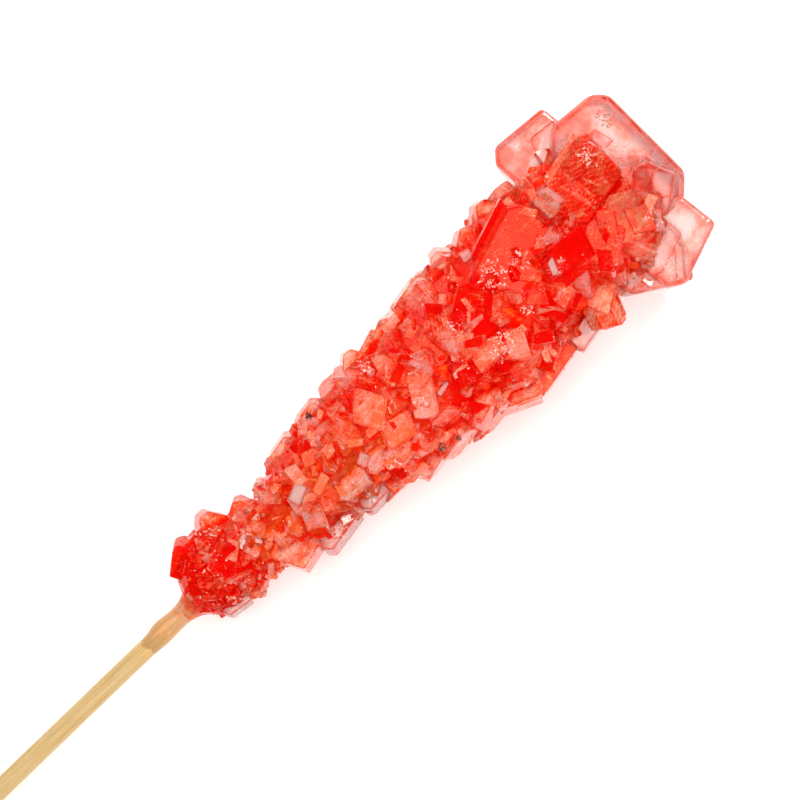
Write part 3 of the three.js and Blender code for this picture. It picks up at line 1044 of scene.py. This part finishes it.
def addRamp(source, stops):  # stops: position, colour
    ramp = addNode(source.id_data, "ValToRGB", Fac=source)
    while len(ramp.color_ramp.elements) < len(stops):
        ramp.color_ramp.elements.new(0.5)
    for element, (position, colour) in zip(ramp.color_ramp.elements, stops):
        element.position = position
        element.color = (*colour, 1)
    return ramp.outputs["Color"]


def calculate(operation, *values):
    tree = next(value.id_data for value in values if isinstance(value, bpy.types.NodeSocket))
    node = addNode(tree, "Math", operation=operation)
    for i, value in enumerate(values):
        setInput(node, i, value)
    return node.outputs[0]


def plus(first, *others):
    for other in others:
        first = calculate("ADD", first, other)
    return first


def times(first, *others):
    for other in others:
        first = calculate("MULTIPLY", first, other)
    return first


def minus(first, second):
    return calculate("SUBTRACT", first, second)


def mixColours(share, first, second):
    node = addNode(share.id_data, "Mix", data_type="RGBA")
    for i, value in ((0, share), (6, first), (7, second)):
        setInput(node, i, (*value, 1) if isinstance(value, tuple) else value)
    return node.outputs[2]


def between(value, low, high):  # 0 under low, 1 over high
    node = addNode(value.id_data, "MapRange", clamp=True)
    setInputs(node, {"Value": value, "From Min": low, "From Max": high})
    return node.outputs["Result"]


def spread(value, low, high):  # low for 0, high for 1
    node = addNode(value.id_data, "MapRange")
    setInputs(node, {"Value": value, "To Min": low, "To Max": high})
    return node.outputs["Result"]


def addAxes(vector):
    parts = addNode(vector.id_data, "SeparateXYZ", Vector=vector)
    return [parts.outputs[axis] for axis in ("X", "Y", "Z")]


def addScaled(vector, scale, turn=(0, 0, 0)):
    tree = vector.id_data
    mapping = addNode(tree, "Mapping", vector_type="POINT", Vector=vector, Rotation=turn, Scale=scale)
    return mapping.outputs["Vector"]


def addBump(height, strength, distance):
    bump = addNode(height.id_data, "Bump", Height=height, Strength=strength, Distance=distance)
    return bump.outputs["Normal"]


# millimetres along, across and up from the stick's neck
def addCandyPlace(tree):
    coordinate = addNode(tree, "TexCoord")
    mapping = addNode(tree, "Mapping", vector_type="TEXTURE", Vector=coordinate.outputs["Object"],
                      Location=neck, Rotation=(0, -stick["tilt"], 0), Scale=(mm, mm, mm))
    return mapping.outputs["Vector"]


def addNoise(place, scale, detail=2, roughness=0.5, distortion=0):
    noise = addNode(place.id_data, "TexNoise", Vector=place, Scale=scale, Detail=detail, Roughness=roughness,
                    Distortion=distortion)
    return noise.outputs["Fac"]


pattern = {
    "coarse": (0.42, 2, 0.6, 0.6),  # a noise has its scale, detail, roughness and distortion
    "fine": (1.9, 2, 0.65, 0.4),
    "cloudShares": (0.65, 0.35),
    "clouds": (0.36, 0.64),  # from and to where a mask goes from 0 to 1, as in the pairs below
    "grain": (4.2, 1, 0.7),
    "grains": (0.54, 0.62),
    "patch": (0.3, 2, 0.5),
    "patches": (0.56, 0.68),
    "milk": (0.19, 3, 0.6, 0.5),
    "haze": (0.42, 0.56),
    "rimWaver": 0.08,
    "rim": (0.46, 0.54),  # from the middle of a face, as the next
    "wideRim": (0.36, 0.54),
    "rampHolds": (100, 20),  # a ramp holds 0 to 1, so this station and this reach stand for 1
    "depth": (0.12, 0.9),
    "depthEnds": (93, 84),  # stations
    "streaks": {"Scale": 6, "Distortion": 3.5, "Detail": 1},
    "lines": (0.6, 0.68),
    "apart": 37,  # how different the lines of two crystals are
    "redStretch": (1.2, 17, 1),
    "paleStretch": (14, 1.6, 1),
}

shardKinds = (  # scale, turn, stretch, share
    (0.42, (0.4, 0.7, 0.9), (1, 1.9, 1.2), 0.55),
    (1.1, (1.1, 0.3, 2.2), (1, 2.6, 1.5), 0.45),
)


# flat-sided patches, as if far faces showed through: one value from 0 to 1 each
def addShards(place):
    values = []
    for scale, turn, stretch, share in shardKinds:
        turned = addScaled(place, stretch, turn)
        cells = addNode(place.id_data, "TexVoronoi", distance="CHEBYCHEV", Vector=turned, Scale=scale)
        values.append(times(addAxes(cells.outputs["Color"])[0], share))
    return plus(*values)


# thin straight lines along one side of a face, in other places on each crystal
def addLines(face, ownDye, stretch):
    noise = addNode(face.id_data, "TexNoise", noise_dimensions="4D", Scale=1, Detail=1,
                    Vector=addScaled(face, stretch), W=times(ownDye, pattern["apart"]))
    return between(noise.outputs["Fac"], *pattern["lines"])


# how far under the crystals' tips a place lies: 1 is a crystal's length
def addDepth(place):
    station, y, z = addAxes(place)
    squares = plus(calculate("POWER", y, 2), calculate("POWER", z, 2))
    radius = calculate("SQRT", squares)
    furthest, widest = pattern["rampHolds"]
    stops = [(at / furthest, (left / widest, right / widest, valueAt(usualLengths, at) / widest))
             for at, left, right in reaches]
    shares = addAxes(addRamp(calculate("DIVIDE", station, furthest), stops))
    left, right, usual = [times(share, widest) for share in shares]
    leftness = calculate("MULTIPLY_ADD", calculate("DIVIDE", y, radius), 0.5, 0.5)
    reach = calculate("MULTIPLY_ADD", leftness, minus(left, right), right)
    under = calculate("DIVIDE", minus(reach, radius), usual)
    return times(between(under, *pattern["depth"]), between(station, *pattern["depthEnds"]))


growthMasks = ("Clouds", "Streaks", "Frost", "PaintedRimShade", "PaintedWideRimShade", "Shards", "RedLines", "PaleLines",
               "Depth", "Haze")


# growth on sugar: clouds of dye, fine streaks and frost, and where shade is painted along the face rims and
# under the crystal tips, put out as masks from 0 to 1
def makeGrowthGroup():
    tree = bpy.data.node_groups.new("sugarGrowth", "ShaderNodeTree")
    for name, kind in (("Place", "Vector"), ("Face", "Vector"), ("Crystal", "Float")):
        tree.interface.new_socket(name, in_out="INPUT", socket_type="NodeSocket" + kind)
    for name in growthMasks:
        tree.interface.new_socket(name, in_out="OUTPUT", socket_type="NodeSocketFloat")
    start = tree.nodes.new("NodeGroupInput")
    place, face, ownDye = [start.outputs[name] for name in ("Place", "Face", "Crystal")]
    coarse = addNoise(place, *pattern["coarse"])
    fine = addNoise(place, *pattern["fine"])
    coarseShare, fineShare = pattern["cloudShares"]
    clouds = plus(times(coarse, coarseShare), times(fine, fineShare))
    streaks = addNode(tree, "TexWave", wave_type="BANDS", bands_direction="DIAGONAL", Vector=face,
                      **pattern["streaks"])
    grains = between(addNoise(place, *pattern["grain"]), *pattern["grains"])
    patches = between(addNoise(place, *pattern["patch"]), *pattern["patches"])
    offsets = [calculate("ABSOLUTE", minus(value, 0.5)) for value in addAxes(face)[:2]]
    furthest = plus(calculate("MAXIMUM", *offsets), times(coarse, pattern["rimWaver"]))
    setInputs(tree.nodes.new("NodeGroupOutput"), {
        "Clouds": between(clouds, *pattern["clouds"]),
        "Streaks": streaks.outputs["Fac"],
        "Frost": times(grains, patches),
        "PaintedRimShade": between(furthest, *pattern["rim"]),
        "PaintedWideRimShade": between(furthest, *pattern["wideRim"]),
        "Shards": addShards(place),
        "RedLines": addLines(face, ownDye, pattern["redStretch"]),
        "PaleLines": addLines(face, ownDye, pattern["paleStretch"]),
        "Depth": addDepth(place),
        "Haze": between(addNoise(place, *pattern["milk"]), *pattern["haze"]),
    })
    return tree


growthGroup = makeGrowthGroup()


def addDye(tree):
    return addNode(tree, "Attribute", attribute_name="dye").outputs["Fac"]


def addGrowth(tree):
    faces = addNode(tree, "UVMap", uv_map="UVMap")
    growth = addNode(tree, "Group", node_tree=growthGroup)
    setInputs(growth, {"Place": addCandyPlace(tree), "Face": faces.outputs["UV"], "Crystal": addDye(tree)})
    return {name: growth.outputs[name] for name in growthMasks}


# the dye of the piece, changed by the growth, with painted shade added along the face rims and, in the dyed
# sugar, deeper under the crystal tips
def addAmount(tree, growth, finish):
    amount = addDye(tree)
    for name, share in finish["toBothSides"].items():
        amount = plus(amount, times(minus(growth[name], 0.5), share))
    for name, share in finish["added"].items():
        amount = calculate("MULTIPLY_ADD", growth[name], share, amount)
    return amount


sugar = {
    "transmission": 0.74,
    "ior": 1.54,
    "bump": (0.5, 0.03 * mm),
    "streakHeight": 0.15,
    "roughness": (0.03, 0.4),  # of clean and of frosty faces
    "sheen": (1, 0.55, 0.34, 1),
    "absorbed": (1, 0.34, 0.1, 1),
    "density": 190,
    "toBothSides": {"Clouds": 0.45, "Streaks": 0.16, "Shards": 0.46},  # more and less dye
    # the rim and depth shares paint shade: more dye along the face rims and deeper under the crystal tips
    "added": {"PaintedRimShade": 0.12, "RedLines": 0.34, "PaleLines": -0.34, "Depth": 1.5},
    "outermost": -0.43,
    "warm": (1, 0.3, 0.03),  # over the stick
    "warmShare": 0.8,
    "warmFrom": (14, 18),  # stations
    "warmTo": (52, 40),
    "warmMiddle": -1,  # sideways
    "warmSides": (6, 2),  # to either side of it
    "warmShards": (0.4, 0.7),
    "glaze": (1, 0.8, 0.4),  # on the stick
    "glazeShare": 0.9,
    "glazeEnds": (4, -1.8),  # stations where it starts and is full
    "colours": ((0, (1, 0.9, 0.86)), (0.2, (1, 0.62, 0.47)), (0.42, (1, 0.27, 0.1)),
                (0.62, (1, 0.04, 0.003)), (0.95, (1, 0.001, 0))),
    "paintedGlowColour": (1, 0.02, 0, 1),  # painted glow, standing in for light scattered inside
    "paintedGlow": 0.02,
    "frost": (1, 0.78, 0.74),
    "frostShare": 0.6,
}


# what both kinds of sugar have: gloss, fine relief and a colour that deepens with thickness
def finishSugar(tree, surface, finish, colour, cloudy, height):
    setInputs(surface, {
        "Base Color": colour,
        "Roughness": spread(cloudy, *finish["roughness"]),
        "Normal": addBump(height, *sugar["bump"]),
        "IOR": sugar["ior"],
        "Transmission Weight": sugar["transmission"],
        "Specular Tint": finish["sheen"],
    })
    absorption = addNode(tree, "VolumeAbsorption", Color=finish["absorbed"], Density=finish["density"])
    setInput(tree.nodes["Material Output"], "Volume", absorption.outputs["Volume"])


def makeSugar():
    material, tree, surface = newMaterial("dyedSugar")
    growth = addGrowth(tree)
    amount = plus(addAmount(tree, growth, sugar), sugar["outermost"])
    station, y = addAxes(addCandyPlace(tree))[:2]
    fromMiddle = between(station, *sugar["warmTo"])
    offMiddle = calculate("ABSOLUTE", minus(y, sugar["warmMiddle"]))
    fromSide = between(offMiddle, *sugar["warmSides"])
    shards = between(growth["Shards"], *sugar["warmShards"])
    fromNeck = between(station, *sugar["warmFrom"])
    warm = times(fromMiddle, fromSide, shards, fromNeck, sugar["warmShare"])
    colour = mixColours(warm, addRamp(amount, sugar["colours"]), sugar["warm"])
    glazed = times(between(station, *sugar["glazeEnds"]), sugar["glazeShare"])
    colour = mixColours(glazed, colour, sugar["glaze"])
    colour = mixColours(times(growth["Frost"], sugar["frostShare"]), colour, sugar["frost"])
    streaks = times(growth["Streaks"], sugar["streakHeight"])
    height = plus(streaks, growth["Clouds"], growth["Frost"])
    finishSugar(tree, surface, sugar, colour, growth["Frost"], height)
    # painted glow: a faint red emission on the dyed sugar
    setInputs(surface, {"Emission Color": sugar["paintedGlowColour"], "Emission Strength": sugar["paintedGlow"]})
    return material


clearSugar = {
    "roughness": (0.02, 0.3),  # where it is clear and where it is milky
    "sheen": (1, 0.86, 0.82, 1),
    "absorbed": (1, 0.3, 0.2, 1),
    "density": 30,
    "toBothSides": {"Clouds": 0.5, "Shards": 0.2},
    # the rim shares paint shade along the face rims, as more dye
    "added": {"PaintedRimShade": 0.2, "PaintedWideRimShade": 0.3},
    "colours": ((0, (1, 0.97, 0.96)), (0.18, (0.91, 0.76, 0.73)), (0.38, (0.91, 0.5, 0.43)),
                (0.62, (0.92, 0.24, 0.17)), (0.9, (0.93, 0.12, 0.07))),
    "haze": (0.89, 0.84, 0.84),
    "hazeShare": 0.95,
}


# the pale crystals: hazy, with little dye in them
def makeClearSugar():
    material, tree, surface = newMaterial("clearSugar")
    growth = addGrowth(tree)
    colour = addRamp(addAmount(tree, growth, clearSugar), clearSugar["colours"])
    # less haze near the rims: part of the painted rim shade
    hazy = times(growth["Haze"], minus(clearSugar["hazeShare"], growth["PaintedWideRimShade"]))
    colour = mixColours(hazy, colour, clearSugar["haze"])
    height = plus(growth["Clouds"], times(growth["Streaks"], sugar["streakHeight"]))
    finishSugar(tree, surface, clearSugar, colour, growth["Haze"], height)
    return material


heartFinish = {
    "colours": ((0.2, (1, 0.004, 0)), (0.5, (1, 0.02, 0.003)), (0.8, (1, 0.1, 0.015))),
    "overStick": ((0.2, (1, 0.02, 0.002)), (0.5, (1, 0.1, 0.012)), (0.8, (1, 0.24, 0.04))),
    "upperFrom": (40, 56),  # stations
    "neckFrom": (17, 11),
    "roughness": 0.16,
    "sheen": (1, 0.35, 0.2, 1),
    # painted glow: red emission that lifts the heart and the crevices over it to pure red
    "paintedGlowColour": (1, 0.01, 0, 1),
    "paintedGlow": 0.1,
    "bump": (0.4, 0.1 * mm),
}


def makeHeartRed():
    material, tree, surface = newMaterial("heartRed")
    growth = addGrowth(tree)
    station = addAxes(addCandyPlace(tree))[0]
    isUpper = between(station, *heartFinish["upperFrom"])
    isNeck = between(station, *heartFinish["neckFrom"])
    red = addRamp(growth["Clouds"], heartFinish["colours"])
    orange = addRamp(growth["Clouds"], heartFinish["overStick"])
    setInputs(surface, {
        "Base Color": mixColours(calculate("MAXIMUM", isUpper, isNeck), orange, red),
        "Normal": addBump(growth["Streaks"], *heartFinish["bump"]),
        "Roughness": heartFinish["roughness"],
        "Specular Tint": heartFinish["sheen"],
        # painted glow
        "Emission Color": heartFinish["paintedGlowColour"],
        "Emission Strength": heartFinish["paintedGlow"],
    })
    return material


grainFinishes = {
    "frostWhite": {
        "noise": (2.2, 3),  # scale, detail
        "colours": ((0.35, (1, 0.4, 0.32)), (0.5, (1, 0.6, 0.54)), (0.65, (1, 0.8, 0.78))),
        "roughness": 0.25,
        "ior": sugar["ior"],
    },
    # painted highlight: pale beads that stand in for the bright reflections of the air pockets
    "paintedBubbleHighlight": {
        "noise": (1.2, 2),
        "colours": ((0.38, (1, 0.3, 0.18)), (0.52, (1, 0.66, 0.55)), (0.64, (1, 0.9, 0.85))),
        "roughness": 0.12,
        "ior": 1.5,
    },
    "scorchedSugar": {
        "noise": (3, 3),
        "colours": ((0.4, (0.035, 0.012, 0.016)), (0.6, (0.16, 0.05, 0.05))),
        "roughness": 0.5,
        "ior": 1.5,
    },
}


def makeGrainFinish(name):
    material, tree, surface = newMaterial(name)
    finish = grainFinishes[name]
    shade = addNoise(addCandyPlace(tree), *finish["noise"])
    setInputs(surface, {
        "Base Color": addRamp(shade, finish["colours"]),
        "Roughness": finish["roughness"],
        "IOR": finish["ior"],
    })
    return material


bamboo = {
    "colours": ((0.3, (0.42, 0.24, 0.08)), (0.45, (0.56, 0.38, 0.16)),
                (0.58, (0.61, 0.45, 0.22)), (0.72, (0.7, 0.55, 0.34))),
    "drawnOut": (0.05, 1, 1),
    "grain": (5.5, 5, 0.6),
    "wide": (1.1, 2),
    "shares": (0.6, 0.4),
    "fine": (11, 2),
    "fineEnds": (0.6, 0.7),
    "streak": (0.36, 0.18, 0.045),
    "streakShare": 0.45,
    "stain": (1, 0.52, 0.18),
    "stainShare": 0.75,
    "stainEnds": (-5.5, 4.5),  # stations where the syrup's colour starts and is full
    "stainFray": 6,
    "pore": (0.3, 0.16, 0.05),
    "poreScale": 4.5,
    "poreEnds": (0.3, 0.15),
    "cutEnd": (-74.7, -74.95),  # stations
    "roughness": (0.62, 0.4),
    "bump": (0.6, 0.06 * mm),
}


def makeBamboo():
    material, tree, surface = newMaterial("splitBamboo")
    place = addCandyPlace(tree)
    drawnOut = addScaled(place, bamboo["drawnOut"])
    grain = addNoise(drawnOut, *bamboo["grain"])
    wide = addNoise(drawnOut, *bamboo["wide"])
    grainShare, wideShare = bamboo["shares"]
    both = plus(times(grain, grainShare), times(wide, wideShare))
    fineLines = between(addNoise(drawnOut, *bamboo["fine"]), *bamboo["fineEnds"])
    colour = addRamp(both, bamboo["colours"])
    colour = mixColours(times(fineLines, bamboo["streakShare"]), colour, bamboo["streak"])
    station = addAxes(place)[0]
    stained = between(plus(station, times(grain, bamboo["stainFray"])), *bamboo["stainEnds"])
    colour = mixColours(times(stained, bamboo["stainShare"]), colour, bamboo["stain"])
    pores = addNode(tree, "TexVoronoi", Vector=place, Scale=bamboo["poreScale"])
    isEnd = between(station, *bamboo["cutEnd"])
    isPore = times(between(pores.outputs["Distance"], *bamboo["poreEnds"]), isEnd)
    setInputs(surface, {
        "Base Color": mixColours(isPore, colour, bamboo["pore"]),
        "Roughness": spread(wide, *bamboo["roughness"]),
        "Normal": addBump(both, *bamboo["bump"]),
    })
    return material


paint(sugarCrystals, makeSugar())
paint(clearCrystals, makeClearSugar())
paint(redHeart, makeHeartRed())
paint(sugarFrost, makeGrainFinish("frostWhite"))
paint(airBubbles, makeGrainFinish("paintedBubbleHighlight"))
paint(darkSpecks, makeGrainFinish("scorchedSugar"))
paint(bambooSkewer, makeBamboo())
print("finishes made")

studio = {
    "floorSide": 6,
    "floorWhite": (0.93, 0.93, 0.93, 1),
    "floorRoughness": 0.9,
    "floorGloss": 0.1,
    "lightColour": (1, 0.96, 0.91),
    "floorGlow": 0.3,  # a light table, so that the clear crystals stay pale
    "skyWhite": 0.14,
    "horizonWhite": 0.7,
    "skyFrom": 0.3,  # height of the direction, 1 is straight up
    "skyTo": 0.55,
    "gamma": 0.93,
}


def makeFloor():
    deselectAll()
    bpy.ops.mesh.primitive_plane_add(size=studio["floorSide"])
    floor = bpy.context.object
    floor.name = "floor"
    material, tree, surface = newMaterial("floorPaper")
    setInputs(surface, {
        "Base Color": studio["floorWhite"],
        "Roughness": studio["floorRoughness"],
        "Specular IOR Level": studio["floorGloss"],
        "Emission Color": (1, 1, 1, 1),
        "Emission Strength": studio["floorGlow"],
    })
    floor.data.materials.append(material)


def makeCamera():
    deselectAll()
    bpy.ops.object.camera_add()
    view = bpy.context.object
    view.data.lens = camera["lens"]
    view.data.sensor_width = camera["sensor"]
    turned = Matrix((toRight, toTop, upward)).transposed().to_4x4()
    view.matrix_world = Matrix.Translation(cameraPlace) @ turned
    bpy.context.scene.camera = view


def makeLight(name):
    direction, distance, sides, radiance = softBoxes[name]
    deselectAll()
    bpy.ops.object.light_add(type="AREA")
    box = bpy.context.object
    box.name = name
    box.data.shape = "RECTANGLE"
    box.data.size, box.data.size_y = sides
    box.data.energy = radiance * math.pi * sides[0] * sides[1]
    box.data.color = studio["lightColour"]
    box.location = placeTowards(direction, distance)
    box.rotation_euler = (box.location - aim).to_track_quat("Z", "Y").to_euler()


# bright near the horizon and dim overhead, where only the boxes shine
def makeWorld():
    world = bpy.data.worlds.new("studio")
    bpy.context.scene.world = world
    world.use_nodes = True
    tree = world.node_tree
    height = addAxes(addNode(tree, "TexCoord").outputs["Generated"])[2]
    overhead = between(height, studio["skyFrom"], studio["skyTo"])
    setInputs(tree.nodes["Background"], {
        "Color": (1, 1, 1, 1),
        "Strength": spread(overhead, studio["horizonWhite"], studio["skyWhite"]),
    })


makeFloor()
makeCamera()
for name in softBoxes:
    makeLight(name)
makeWorld()
print("studio made")

scene = bpy.context.scene
scene.view_settings.view_transform = "Standard"
scene.view_settings.gamma = studio["gamma"]
scene.cycles.max_bounces = 18
scene.cycles.transmission_bounces = 16
scene.cycles.glossy_bounces = 6
scene.cycles.diffuse_bounces = 4
